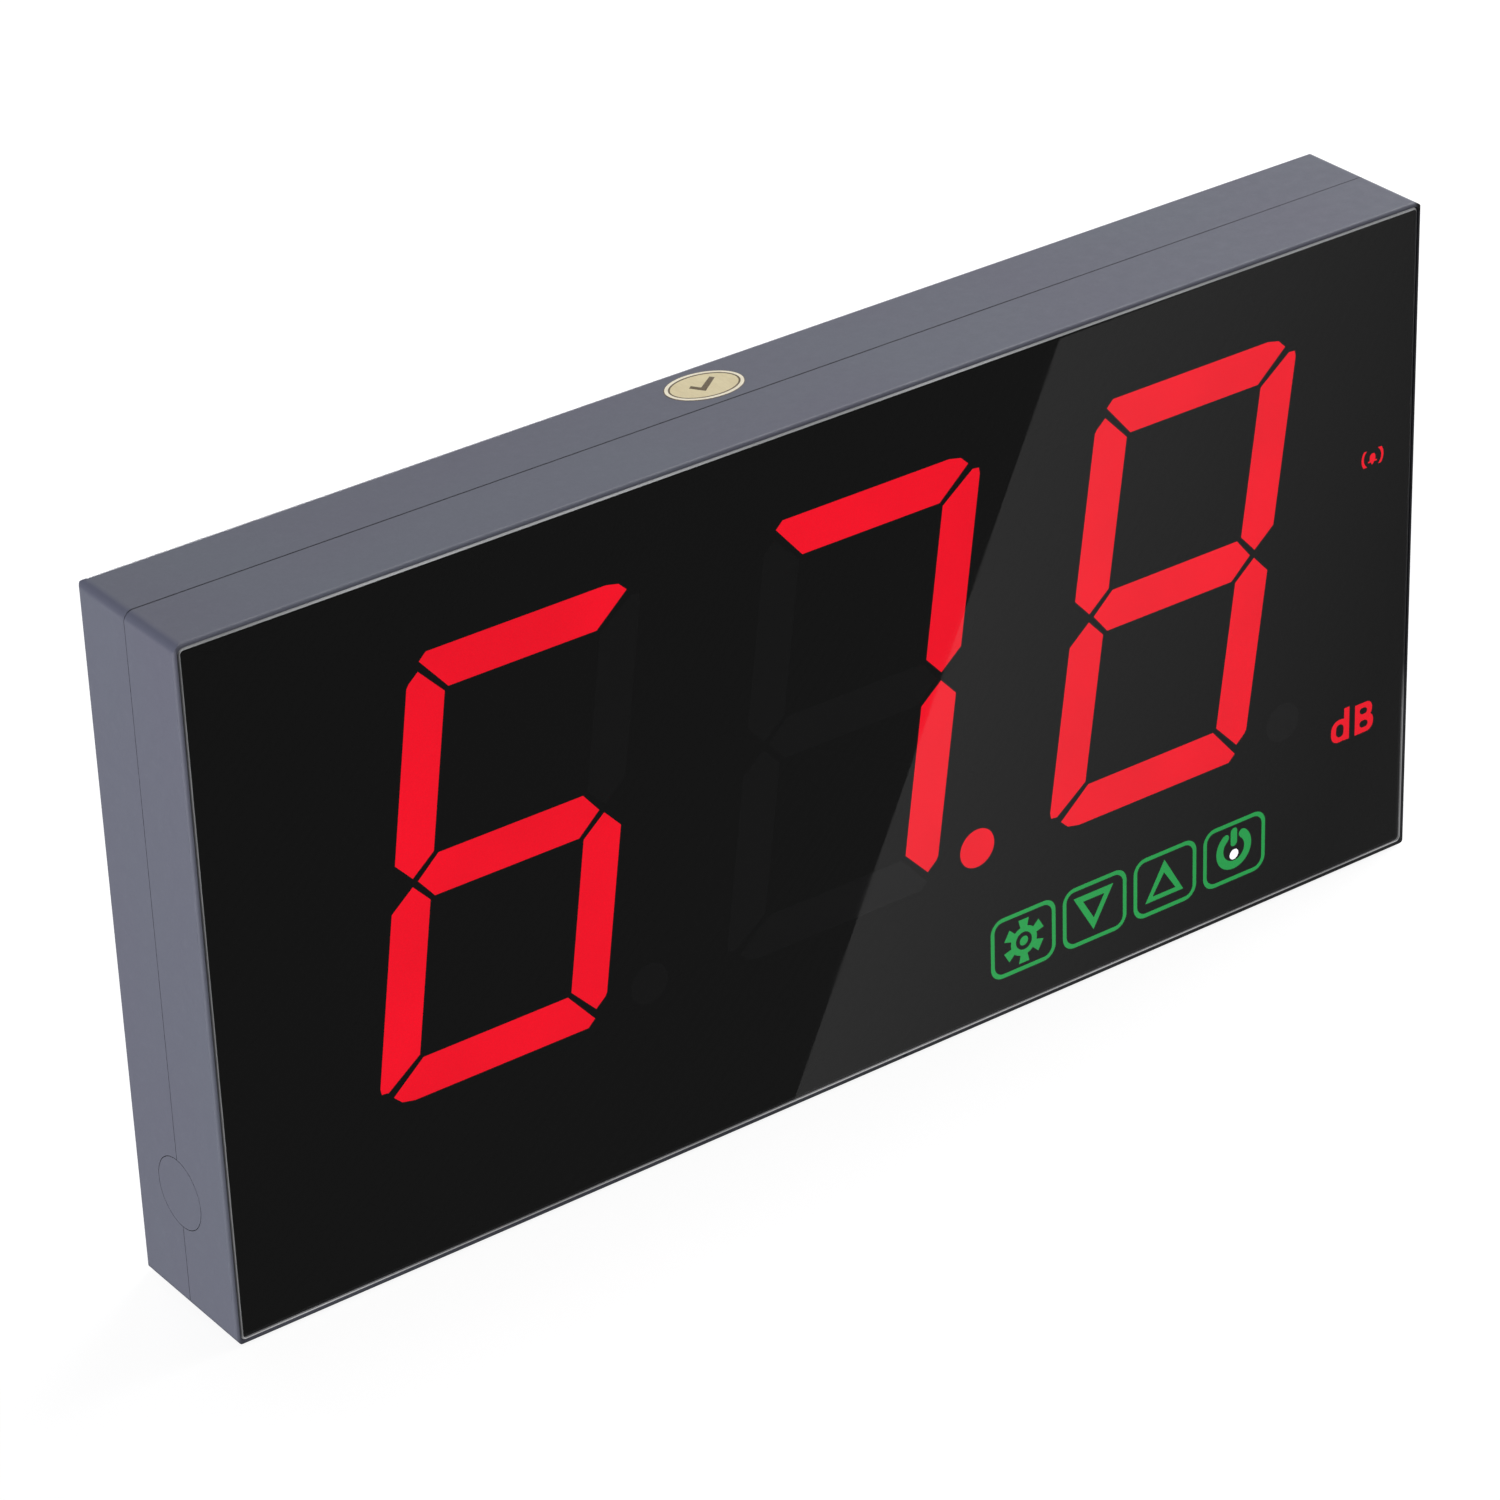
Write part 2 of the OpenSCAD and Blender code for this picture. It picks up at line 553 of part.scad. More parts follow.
module microphone_amplifier() color([0.08, 0.08, 0.09])
  translate([0, 2 * y_main, 0]) mirror([0, 1, 0]) chip(104, 56, y_main, 5, 4, 4);

module voltage_regulator() color([0.08, 0.08, 0.09]) {
  block([46, y_main - 2.3, 24], [52.5, y_main, 30]);
  block([46.5, y_main - 0.6, 29.9], [52, y_main, 33]);
  for (i = [0:2]) block([46.6 + i * 2.3, y_main - 0.6, 21.5], [47.3 + i * 2.3, y_main, 24.1]);
}

module power_inductor() color([0.25, 0.25, 0.26]) difference() {
  slab(y_main - 5.5, 5.5) translate([38, 56]) rrect(12, 12, 2);
  peg(38, 56, 4, y_main - 6.5, y_main - 4.9);
}

module capacitors() color([0.2, 0.22, 0.35])
  for (p = [[32, 30], [32, 42], [50, 44]]) union() {
    peg(p[0], p[1], 4.9, y_main - 1.5, y_main);
    peg(p[0], p[1], 4, y_main - 12, y_main - 1.4);
  }

module chip_passives() color([0.55, 0.48, 0.38]) {
  for (i = [0:6]) block([78 + i * 3.5, y_main - 0.9, 45], [79.3 + i * 3.5, y_main, 47.4]);
  for (i = [0:4]) block([56 + i * 3.5, y_main - 0.9, 24], [57.3 + i * 3.5, y_main, 26.4]);
  for (i = [0:3]) block([100, y_main - 0.9, 26 + i * 3.5], [102.4, y_main, 27.3 + i * 3.5]);
}

module buzzer() color([0.07, 0.07, 0.08]) difference() {
  peg(98, 68, 6, y_main - 9.5, y_main);
  peg(98, 68, 1.3, y_main - 10.5, y_main - 7.5);
}

module calibration_trimmer() color([0.12, 0.3, 0.65]) difference() {
  block([trimmer[0] - 3.4, y_main + main_t, trimmer[1] - 3.4], [trimmer[0] + 3.4, y_rear_in - 0.75, trimmer[1] + 3.4]);
  peg(trimmer[0], trimmer[1], 2.05, y_rear_in - 2.35, y_rear_in);
}

module trimmer_rotor() color([0.85, 0.85, 0.8])
  translate([trimmer[0], 0, trimmer[1]]) rotate([0, trim_turn, 0]) difference() {
    peg(0, 0, 2, y_rear_in - 2.3, y_rear_in - 0.5);
    block([-1.6, y_rear_in - 1.1, -0.35], [1.6, y_rear_in, 0.35]);
    block([-0.35, y_rear_in - 1.1, -1.1], [0.35, y_rear_in, 1.1]);
  }

module dc_jack() color([0.07, 0.07, 0.08]) difference() {
  union() {
    block([jack[0] - 4.5, jack[1] - 5, wall + 0.2], [jack[0] + 4.5, y_main, 16.7]);
    translate([jack[0], jack[1], 0.3]) cylinder(r = 4, h = 4);
  }
  translate([jack[0], jack[1], -1]) cylinder(r = 2.8, h = 11.4);
  translate([jack[0], jack[1], 10]) cylinder(r = 1.35, h = 2.2);
}

module dc_jack_pin() color([0.8, 0.72, 0.5]) translate([jack[0], jack[1], 1.6]) {
  cylinder(r = 1, h = 9);
  translate([0, 0, 8.8]) cylinder(r = 1.3, h = 1.7);
}

// flat cable whose path is a straight, a quarter turn, a straight, a quarter turn and a straight
module s_bend2d(y0, z0, r, y_mid, dz, y1, t) {
  k = sign(dz);
  translate([y0, z0 - t / 2]) square([y_mid - r - y0, t]);
  translate([y_mid - r, z0 + k * r]) quarter(r, t, k > 0 ? -90 : 0);
  translate([y_mid - t / 2, min(z0 + k * r, z0 + dz - k * r)]) square([t, abs(dz) - 2 * r]);
  translate([y_mid + r, z0 + dz - k * r]) quarter(r, t, k > 0 ? 90 : 180);
  translate([y_mid + r, z0 + dz - t / 2]) square([y1 - y_mid - r, t]);
}

module quarter(r, t, a) rotate(a) intersection() {
  difference() { circle(r = r + t / 2); circle(r = r - t / 2); }
  square(r + t);
}

module flat_cable(x0, x1) translate([x0, 0, 0]) rotate([90, 0, 90]) linear_extrude(height = x1 - x0) children();

module display_ribbon() color([0.55, 0.55, 0.57])
  flat_cable(60, 84) s_bend2d(y_board + board_t + 6, 100, 2.5, 3.4, -26, y_main - 6, 0.9);

module ribbon_sockets() color([0.07, 0.07, 0.08]) {
  block([58, y_board + board_t, 97], [86, y_board + board_t + 6, 103]);
  block([58, y_main - 6, 71], [86, y_main, 77]);
}

module touch_lead() color([0.55, 0.55, 0.57])
  flat_cable(60, 70) s_bend2d(y_touch + board_t + 4, 20, 2.5, 3, 20, y_main - 4, 0.9);

module touch_lead_sockets() color([0.9, 0.88, 0.8]) {
  block([58.5, y_touch + board_t, 17.5], [71.5, y_touch + board_t + 4, 22.5]);
  block([58.5, y_main - 4, 37.5], [71.5, y_main, 42.5]);
}

// ---------- microphone ----------

module microphone_insert() color([0.44, 0.45, 0.50]) difference() {
  union() {
    port_piece(1);
    port_cut(1, 8, case_w / 2 - 12.5, case_w / 2 - wall - 1);
  }
  port_cut(1, 6.4, case_w / 2 - 13.5, case_w / 2 - 1.2);
  port_cut(1, 5, case_w / 2 - 2, case_w / 2 + 1);
}

module microphone_gauze() color([0.3, 0.3, 0.3]) port_cut(1, 6.35, case_w / 2 - 1.6, case_w / 2 - 1.2);

module microphone_capsule() color([0.75, 0.75, 0.76]) port_cut(1, 4.85, case_w / 2 - 8.3, case_w / 2 - 1.6);

module microphone_boot() color([0.05, 0.05, 0.05]) difference() {
  port_cut(1, 6.35, case_w / 2 - 10.5, case_w / 2 - 1.6);
  port_cut(1, 4.9, case_w / 2 - 8.35, case_w / 2 - 1);
}

module microphone_lead() color([0.1, 0.1, 0.1])
  wire([[189.5, yp, port_z], [186, yp, port_z], [181, yp + 0.3, port_z + 0.2], [175, yp + 1.2, port_z + 0.8],
        [168, yp + 2.8, port_z + 1.5], [160, y_main - 8.4, 37.8], [152, y_main - 6.8, 38.8], [144, y_main - 5.5, 39.9],
        [137, y_main - 4.6, 41.1], [130, y_main - 3.95, 42.2], [124, y_main - 3.55, 43],
        [119.65, y_main - 3.45, 43.3]], 0.8, 8, [0, 0, 1]);

module microphone_lead_socket() color([0.9, 0.88, 0.8]) block([113.5, y_main - 6, 40.5], [119.5, y_main, 46.5]);

// ---------- what is drawn ----------
front_shell();
rear_shell();
front_panel();
panel_mask();
panel_tape();
digit_housing_tens();
digit_housing_units();
digit_housing_tenths();
lit_segments_tens();
lit_segments_units();
lit_segments_tenths();
dark_segments();
decimal_point_lens();
unit_light_box();
unit_diffuser();
alarm_light_box();
alarm_diffuser();
key_diffusers();
power_dot_lens();
display_board();
display_leds();
driver_chips();
display_board_screws();
key_light_box();
touch_board();
touch_springs();
key_leds();
touch_chip();
touch_board_screws();
touch_lead();
touch_lead_sockets();
main_board();
main_board_screws();
microcontroller();
microphone_amplifier();
voltage_regulator();
power_inductor();
capacitors();
chip_passives();
buzzer();
calibration_trimmer();
trimmer_rotor();
dc_jack();
dc_jack_pin();
display_ribbon();
ribbon_sockets();
microphone_insert();
microphone_capsule();
microphone_boot();
microphone_gauze();
microphone_lead();
microphone_lead_socket();
blanking_plug();
case_screws();
inspection_sticker();
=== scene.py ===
import bpy, bmesh, math, json
from mathutils import Matrix, Vector


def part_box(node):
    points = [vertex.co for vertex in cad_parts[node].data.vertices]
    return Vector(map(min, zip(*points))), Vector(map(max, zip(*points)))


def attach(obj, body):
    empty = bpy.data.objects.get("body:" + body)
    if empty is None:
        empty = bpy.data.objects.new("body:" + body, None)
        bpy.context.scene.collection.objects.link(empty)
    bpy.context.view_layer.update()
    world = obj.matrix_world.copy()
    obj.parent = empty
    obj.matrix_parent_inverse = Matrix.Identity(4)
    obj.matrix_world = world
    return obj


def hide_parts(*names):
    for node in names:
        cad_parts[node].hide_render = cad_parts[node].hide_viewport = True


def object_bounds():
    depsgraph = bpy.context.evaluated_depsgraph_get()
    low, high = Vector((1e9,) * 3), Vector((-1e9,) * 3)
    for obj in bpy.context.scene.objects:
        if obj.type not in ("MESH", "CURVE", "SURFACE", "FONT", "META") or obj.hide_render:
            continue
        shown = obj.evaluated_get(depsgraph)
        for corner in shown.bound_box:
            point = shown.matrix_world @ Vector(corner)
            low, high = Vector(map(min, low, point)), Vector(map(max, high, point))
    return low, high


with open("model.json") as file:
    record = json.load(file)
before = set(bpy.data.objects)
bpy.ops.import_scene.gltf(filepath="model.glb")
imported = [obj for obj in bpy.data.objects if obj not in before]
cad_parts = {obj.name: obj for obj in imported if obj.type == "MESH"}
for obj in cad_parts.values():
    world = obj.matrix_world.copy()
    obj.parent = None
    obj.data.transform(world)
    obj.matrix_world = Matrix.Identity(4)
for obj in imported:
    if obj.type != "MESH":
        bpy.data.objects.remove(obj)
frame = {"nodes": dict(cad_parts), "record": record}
cad_lo, cad_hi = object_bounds()
NODES = frame["nodes"]
scene = bpy.context.scene
scene.view_settings.view_transform = "Standard"
MM = 0.001


# ---------------------------------------------------------------- camera
cam_data = bpy.data.cameras.new("camera")
cam_data.sensor_width = 36.0
cam_data.lens = 135.751
cam_data.clip_start, cam_data.clip_end = 0.05, 50.0
cam = bpy.data.objects.new("camera", cam_data)
scene.collection.objects.link(cam)
c_right = Vector((0.80415342, -0.59355072, -0.03216877))
c_down = Vector((-0.31479105, -0.37932955, -0.87006648))
c_fwd = Vector((0.50422602, 0.70979337, -0.49188361))
eye = Vector((-0.7764108, -1.070027, 0.8409933))
rot = Matrix((c_right, -c_down, -c_fwd)).transposed()
cam.matrix_world = Matrix.Translation(eye) @ rot.to_4x4()
scene.camera = cam


# ---------------------------------------------------------------- node material helpers
class Mat:
    """A Principled material whose colour, roughness and surface come from procedural nodes."""

    def __init__(self, name):
        self.m = bpy.data.materials.new(name)
        self.m.use_nodes = True
        self.nt = self.m.node_tree
        self.p = self.nt.nodes["Principled BSDF"]
        self.tc = self.nt.nodes.new("ShaderNodeTexCoord")
        self.obj = self.tc.outputs["Object"]

    def node(self, kind, **inputs):
        n = self.nt.nodes.new(kind)
        for k, v in inputs.items():
            n.inputs[k.replace("_", " ")].default_value = v
        return n

    def link(self, a, b):
        self.nt.links.new(a, b)

    def stretch(self, scale):
        n = self.nt.nodes.new("ShaderNodeMapping")
        n.inputs["Scale"].default_value = scale
        self.link(self.obj, n.inputs["Vector"])
        return n.outputs["Vector"]

    def noise(self, scale, detail=2.0, rough=0.5, vector=None):
        n = self.node("ShaderNodeTexNoise", Scale=scale, Detail=detail, Roughness=rough)
        self.link(vector if vector is not None else self.obj, n.inputs["Vector"])
        return n.outputs["Fac"]

    def span(self, value, lo, hi, a=0.3, b=0.7):
        n = self.node("ShaderNodeMapRange")
        n.inputs["From Min"].default_value = a
        n.inputs["From Max"].default_value = b
        n.inputs["To Min"].default_value = lo
        n.inputs["To Max"].default_value = hi
        self.link(value, n.inputs["Value"])
        return n.outputs["Result"]

    def math(self, op, a, b):
        n = self.nt.nodes.new("ShaderNodeMath")
        n.operation = op
        for i, v in enumerate((a, b)):
            if isinstance(v, (int, float)):
                n.inputs[i].default_value = v
            else:
                self.link(v, n.inputs[i])
        return n.outputs["Value"]

    def mix(self, fac, a, b):
        n = self.nt.nodes.new("ShaderNodeMix")
        n.data_type = "RGBA"
        if isinstance(fac, (int, float)):
            n.inputs[0].default_value = fac
        else:
            self.link(fac, n.inputs[0])
        for sock, v in ((n.inputs[6], a), (n.inputs[7], b)):
            if isinstance(v, tuple):
                sock.default_value = (*v, 1.0) if len(v) == 3 else v
            else:
                self.link(v, sock)
        return n.outputs[2]

    def xyz(self, kind="Position"):
        """The three parts of the surface's place or direction in the object's frame."""
        geo = self.nt.nodes.new("ShaderNodeNewGeometry")
        sep = self.nt.nodes.new("ShaderNodeSeparateXYZ")
        self.link(geo.outputs[kind], sep.inputs[0])
        return sep.outputs[0], sep.outputs[1], sep.outputs[2]

    def bump(self, height, strength, distance, normal=None):
        n = self.nt.nodes.new("ShaderNodeBump")
        n.inputs["Strength"].default_value = strength
        n.inputs["Distance"].default_value = distance
        self.link(height, n.inputs["Height"])
        if normal is not None:
            self.link(normal, n.inputs["Normal"])
        return n.outputs["Normal"]

    def set(self, **values):
        for k, v in values.items():
            sock = self.p.inputs[k.replace("_", " ")]
            if isinstance(v, bpy.types.NodeSocket):
                self.link(v, sock)
            elif isinstance(v, tuple):
                sock.default_value = (*v, 1.0) if len(v) == 3 else v
            else:
                sock.default_value = v
        return self


def shade(c, k):
    return tuple(min(1.0, x * k) for x in c)


def moulded(name, colour, rough, var=0.10, big=35.0, grain=1500.0, depth=0.25, dist=0.00003, rvar=0.06,
            metal=0.0, **extra):
    """Moulded, cast or printed surface: cloudy tone, fine grain and uneven gloss."""
    m = Mat(name)
    tone = m.span(m.noise(big, 3.0), 0.0, 1.0)
    fine = m.noise(grain, 3.0, 0.6)
    col = m.mix(tone, shade(colour, 1 - var), shade(colour, 1 + var))
    col = m.mix(m.span(fine, 0.0, 0.35), col, shade(colour, 1 - 1.6 * var))
    m.set(Base_Color=col, Metallic=metal,
          Roughness=m.span(m.noise(big * 7, 4.0), max(0.02, rough - rvar), min(1.0, rough + rvar)),
          Normal=m.bump(fine, depth, dist))
    m.set(**extra)
    return m.m


def case_plastic():
    """Slate-grey ABS with a spark-eroded grain, faint flow streaks and two tones of blue-grey."""
    m = Mat("case_plastic")
    warm, cool = (0.1285, 0.1290, 0.1740), (0.1300, 0.1420, 0.1800)
    cloud = m.span(m.noise(16.0, 3.0, 0.55, m.stretch((1.0, 1.0, 0.35))), 0.0, 1.0)
    col = m.mix(cloud, warm, cool)
    grain = m.noise(1650.0, 3.0, 0.65)
    pits = m.noise(420.0, 2.0, 0.5)
    col = m.mix(m.span(grain, 0.0, 0.30), col, (0.095, 0.100, 0.132))
    col = m.mix(m.span(pits, 0.0, 0.16, 0.55, 0.8), col, (0.175, 0.182, 0.225))
    nx, ny, nz = m.xyz("True Normal")         # painted shade: the rounded corners of the moulding are painted darker
    painted_edge_shade = m.math("ABSOLUTE", m.math("MULTIPLY", nx, nz), 0.0)
    col = m.mix(m.span(painted_edge_shade, 0.0, 1.0, 0.17, 0.44), col, (0.084, 0.089, 0.131))
    x, y, z = m.xyz()                         # and painted shade on the thin rim round the panel, near black at the right side and along the bottom
    rim = m.span(y, 1.0, 0.0, cad_lo.y + 0.0004, cad_lo.y + 0.0013)
    side = m.math("MAXIMUM", m.span(x, 0.0, 1.0, 0.1975, 0.1985), m.span(z, 1.0, 0.10, 0.0015, 0.0030))
    side = m.math("MULTIPLY", side, m.span(x, 0.25, 0.95, -0.19, 0.12))
    rim = m.math("MULTIPLY", rim, side)
    col = m.mix(rim, col, (0.009, 0.009, 0.011))
    painted_seam_shade = m.span(m.math("ABSOLUTE", m.math("SUBTRACT", y, 0.00014), 0.0), 1.0, 0.0, 0.00010, 0.00042)
    painted_seam_shade = m.math("MULTIPLY", painted_seam_shade, m.span(z, 0.0, 1.0, 0.2030, 0.2038))
    painted_seam_shade = m.math("MULTIPLY", painted_seam_shade, m.span(x, 0.85, 0.25, 0.06, 0.19))
    col = m.mix(painted_seam_shade, col, (0.022, 0.024, 0.036))   # painted shade along the parting line on top
    rough = m.span(m.noise(240.0, 4.0), 0.50, 0.62)
    n = m.bump(pits, 0.10, 0.00006)
    n = m.bump(grain, 0.22, 0.00003, n)
    return m.set(Base_Color=col, Roughness=rough, Normal=n, IOR=1.48).m


def smoked_acrylic():
    """Dark tinted cast acrylic: clear body under a near-mirror skin that is a touch uneven in gloss."""
    m = Mat("smoked_acrylic")
    tint = m.mix(m.span(m.noise(30.0, 2.0), 0.0, 1.0), (0.150, 0.150, 0.155), (0.165, 0.165, 0.170))
    rough = m.span(m.noise(55.0, 3.0), 0.0, 0.018)
    return m.set(Base_Color=tint, Roughness=rough, IOR=1.49, Transmission_Weight=1.0).m


def polished_edge():
    """Cut and polished edge of the acrylic: light grey as a painted highlight of the polished cut, streaky along the
    cut, with painted shade at the right and left and painted light glowing along the bottom and top.
    """
    m = Mat("acrylic_edge")
    streak = m.noise(14.0, 2.0, 0.5)
    cut = m.noise(900.0, 3.0, 0.6)
    col = m.mix(m.span(streak, 0.0, 1.0, 0.38, 0.60), (0.42, 0.43, 0.44), (0.74, 0.75, 0.77))
    col = m.mix(m.span(cut, 0.0, 0.25), col, (0.45, 0.46, 0.48))
    x, y, z = m.xyz()
    right = m.span(x, 0.0, 1.0, 0.1976, 0.1982)
    left = m.span(x, 1.0, 0.0, -0.1982, -0.1976)
    low = m.span(z, 1.0, 0.0, 0.0019, 0.0028)
    # painted shade: the edge is darkened to near black at the right and part way at the left
    col = m.mix(m.math("MULTIPLY", right, 0.85), col, (0.03, 0.03, 0.035))
    col = m.mix(m.math("MULTIPLY", left, 0.45), col, (0.03, 0.03, 0.035))
    # painted light: the edge glows along the bottom, low on the right, and along the top, weaker towards the right
    low_right = m.math("MULTIPLY", right, m.span(z, 1.0, 0.0, 0.045, 0.060))
    light = m.math("MAXIMUM", low, low_right)
    high = m.math("MULTIPLY", m.span(z, 0.0, 0.34, 0.2013, 0.2022), m.span(x, 1.0, 0.3, 0.08, 0.17))
    light = m.math("MAXIMUM", light, high)
    painted_glow = m.mix(m.math("MULTIPLY", light, m.span(streak, 0.6, 1.0, 0.38, 0.60)), (0.0, 0.0, 0.0), (0.25, 0.25, 0.25))
    return m.set(Base_Color=col, Roughness=m.span(cut, 0.10, 0.28), Normal=m.bump(cut, 0.1, 0.00002), IOR=1.49,
                 Emission_Color=painted_glow, Emission_Strength=1.0).m


def glowing(name, emit, strength, body, fleck):
    """Diffuser film lit from behind: even light, with the film's own faint grain in its body colour."""
    m = Mat(name)
    grain = m.noise(1300.0, 2.0)
    col = m.mix(m.span(grain, 0.0, 1.0), body, fleck)
    return m.set(Base_Color=col, Roughness=m.span(grain, 0.35, 0.5), Normal=m.bump(grain, 0.1, 0.00002),
                 Emission_Color=emit, Emission_Strength=strength).m


def circuit_board():
    """Green solder mask over copper tracks, with glass-weave texture."""
    m = Mat("circuit_board")
    v = m.node("ShaderNodeTexVoronoi", Scale=190.0)
    v.distance = "CHEBYCHEV"
    v.feature = "F1"
    m.link(m.obj, v.inputs["Vector"])
    track = m.span(v.outputs["Distance"], 0.0, 1.0, 0.30, 0.34)
    brick = m.node("ShaderNodeTexBrick", Scale=1.0)
    brick.inputs["Brick Width"].default_value = 0.0052
    brick.inputs["Row Height"].default_value = 0.0013
    brick.inputs["Mortar Size"].default_value = 0.00016
    brick.inputs["Color1"].default_value = (0, 0, 0, 1)
    brick.inputs["Color2"].default_value = (0, 0, 0, 1)
    brick.inputs["Mortar"].default_value = (1, 1, 1, 1)
    turned = m.nt.nodes.new("ShaderNodeMapping")
    turned.inputs["Rotation"].default_value = (math.radians(-90), 0, 0)
    m.link(m.obj, turned.inputs["Vector"])
    m.link(turned.outputs["Vector"], brick.inputs["Vector"])
    col = m.mix(brick.outputs["Color"], (0.012, 0.090, 0.045), (0.030, 0.165, 0.080))
    col = m.mix(m.span(track, 0.0, 0.5), col, (0.010, 0.070, 0.036))
    weave = m.noise(1800.0, 2.0)
    h = m.math("ADD", brick.outputs["Fac"], m.math("MULTIPLY", weave, 0.3))
    return m.set(Base_Color=col, Roughness=m.span(weave, 0.22, 0.36), Normal=m.bump(h, 0.3, 0.00003)).m


def metal(name, colour, rough, scale=(1.0, 1.0, 1.0), spots=None):
    """Plated or turned metal with fine tool lines and small stains."""
    m = Mat(name)
    lines = m.noise(2200.0, 2.0, 0.5, m.stretch(scale))
    stain = m.span(m.noise(260.0, 4.0, 0.6), 0.0, 1.0, 0.45, 0.75)
    col = m.mix(stain, colour, spots or shade(colour, 0.72))
    return m.set(Base_Color=col, Metallic=1.0, Roughness=m.span(lines, rough - 0.07, rough + 0.09),
                 Normal=m.bump(lines, 0.12, 0.00002)).m


def ribbed(name, colour, gap, pitch, rough, axis=0):
    """Flat cable of parallel cores: rounded ribs along the cable, made by a wave across it."""
    m = Mat(name)
    w = m.node("ShaderNodeTexWave", Scale=1.0 / (pitch * 3.1831))
    w.wave_type = "BANDS"
    w.bands_direction = "XYZ"[axis]
    m.link(m.obj, w.inputs["Vector"])
    fine = m.noise(1500.0, 2.0)
    col = m.mix(m.span(w.outputs["Fac"], 0.0, 1.0, 0.0, 0.35), gap, colour)
    col = m.mix(m.span(fine, 0.0, 0.2), col, shade(colour, 0.8))
    return m.set(Base_Color=col, Roughness=m.span(fine, rough - 0.06, rough + 0.06),
                 Normal=m.bump(w.outputs["Fac"], 0.5, 0.0002)).m


def sticker_print():
    m = Mat("sticker_brown")
    f = m.noise(1700.0, 3.0)
    return m.set(Base_Color=m.mix(m.span(f, 0.0, 1.0), (0.105, 0.075, 0.042), (0.200, 0.150, 0.090)),
                 Roughness=m.span(f, 0.40, 0.55), Normal=m.bump(f, 0.1, 0.00001)).m


def sticker_film(name, a, b):
    m = Mat(name)
    fibre = m.noise(1500.0, 3.0, 0.6, m.stretch((1.0, 0.3, 1.0)))
    cloud = m.noise(220.0, 2.0)
    col = m.mix(m.span(cloud, 0.0, 1.0), a, b)
    col = m.mix(m.span(fibre, 0.0, 0.3), col, shade(a, 0.8))
    return m.set(Base_Color=col, Roughness=m.span(fibre, 0.38, 0.55), Normal=m.bump(fibre, 0.12, 0.00002)).m


MATS = {
    "case_plastic": case_plastic(),
    "smoked_acrylic": smoked_acrylic(),
    "printed_black": moulded("printed_black", (0.0055, 0.0055, 0.0060), 0.62, 0.25, 60.0, 1800.0, 0.1, 0.00001),
    "tape_black": moulded("tape_black", (0.012, 0.012, 0.013), 0.80, 0.2, 90.0, 900.0, 0.5, 0.00008),
    "black_plastic": moulded("black_plastic", (0.016, 0.016, 0.018), 0.45, 0.2, 70.0, 1500.0, 0.25, 0.00003),
    "lit_red": glowing("lit_red", (1.0, 0.0, 0.016, 1.0), 5.85, (0.30, 0.006, 0.010), (0.36, 0.010, 0.014)),
    "dark_lens": moulded("dark_lens", (0.0050, 0.0047, 0.0049), 0.62, 0.2, 90.0, 1300.0, 0.1, 0.00001, IOR=1.30),
    "lit_green": glowing("lit_green", (0.034, 1.0, 0.195, 1.0), 2.15, (0.05, 0.42, 0.14), (0.07, 0.48, 0.17)),
    "lit_white": glowing("lit_white", (1.0, 1.0, 1.0, 1.0), 7.6, (0.80, 0.80, 0.78), (0.86, 0.86, 0.85)),
    "white_plastic": moulded("white_plastic", (0.78, 0.78, 0.75), 0.45, 0.04, 60.0, 1400.0, 0.2, 0.00003),
    "circuit_board": circuit_board(),
    "led_package": moulded("led_package", (0.83, 0.78, 0.55), 0.35, 0.08, 700.0, 2400.0, 0.15, 0.00002),
    "chip_black": moulded("chip_black", (0.022, 0.022, 0.024), 0.62, 0.25, 300.0, 2600.0, 0.35, 0.00003),
    "zinc_steel": metal("zinc_steel", (0.62, 0.62, 0.61), 0.30, spots=(0.47, 0.46, 0.43)),
    "spring_wire": metal("spring_wire", (0.70, 0.70, 0.70), 0.24),
    "ribbon_grey": ribbed("ribbon_grey", (0.36, 0.36, 0.37), (0.13, 0.13, 0.14), 0.00127, 0.5),
    "connector_ivory": moulded("connector_ivory", (0.74, 0.69, 0.56), 0.42, 0.06, 160.0, 1500.0, 0.2, 0.00003),
    "ferrite": moulded("ferrite", (0.060, 0.060, 0.064), 0.55, 0.3, 400.0, 1900.0, 0.5, 0.00006),
    "capacitor_sleeve": moulded("capacitor_sleeve", (0.020, 0.024, 0.085), 0.28, 0.15, 120.0, 1200.0, 0.1, 0.00002),
    "ceramic_brown": moulded("ceramic_brown", (0.31, 0.235, 0.155), 0.40, 0.15, 900.0, 2600.0, 0.2, 0.00002),
    "trimmer_blue": moulded("trimmer_blue", (0.022, 0.085, 0.36), 0.38, 0.10, 200.0, 1700.0, 0.2, 0.00003),
    "contact_brass": metal("contact_brass", (0.80, 0.66, 0.36), 0.26, spots=(0.60, 0.45, 0.22)),
    "capsule_aluminium": metal("capsule_aluminium", (0.74, 0.74, 0.75), 0.30),
    "boot_rubber": moulded("boot_rubber", (0.018, 0.018, 0.018), 0.85, 0.2, 150.0, 1100.0, 0.5, 0.00006),
    "gauze_steel": metal("gauze_steel", (0.34, 0.34, 0.35), 0.42),
    "lead_black": moulded("lead_black", (0.020, 0.020, 0.021), 0.50, 0.15, 200.0, 1500.0, 0.2, 0.00003),
    "sticker_film": sticker_film("sticker_film", (0.76, 0.65, 0.40), (0.82, 0.72, 0.46)),
}
EDGE = polished_edge()
STICKER_RIM = sticker_film("sticker_rim", (0.92, 0.84, 0.66), (0.98, 0.91, 0.73))
STICKER_INK = sticker_print()

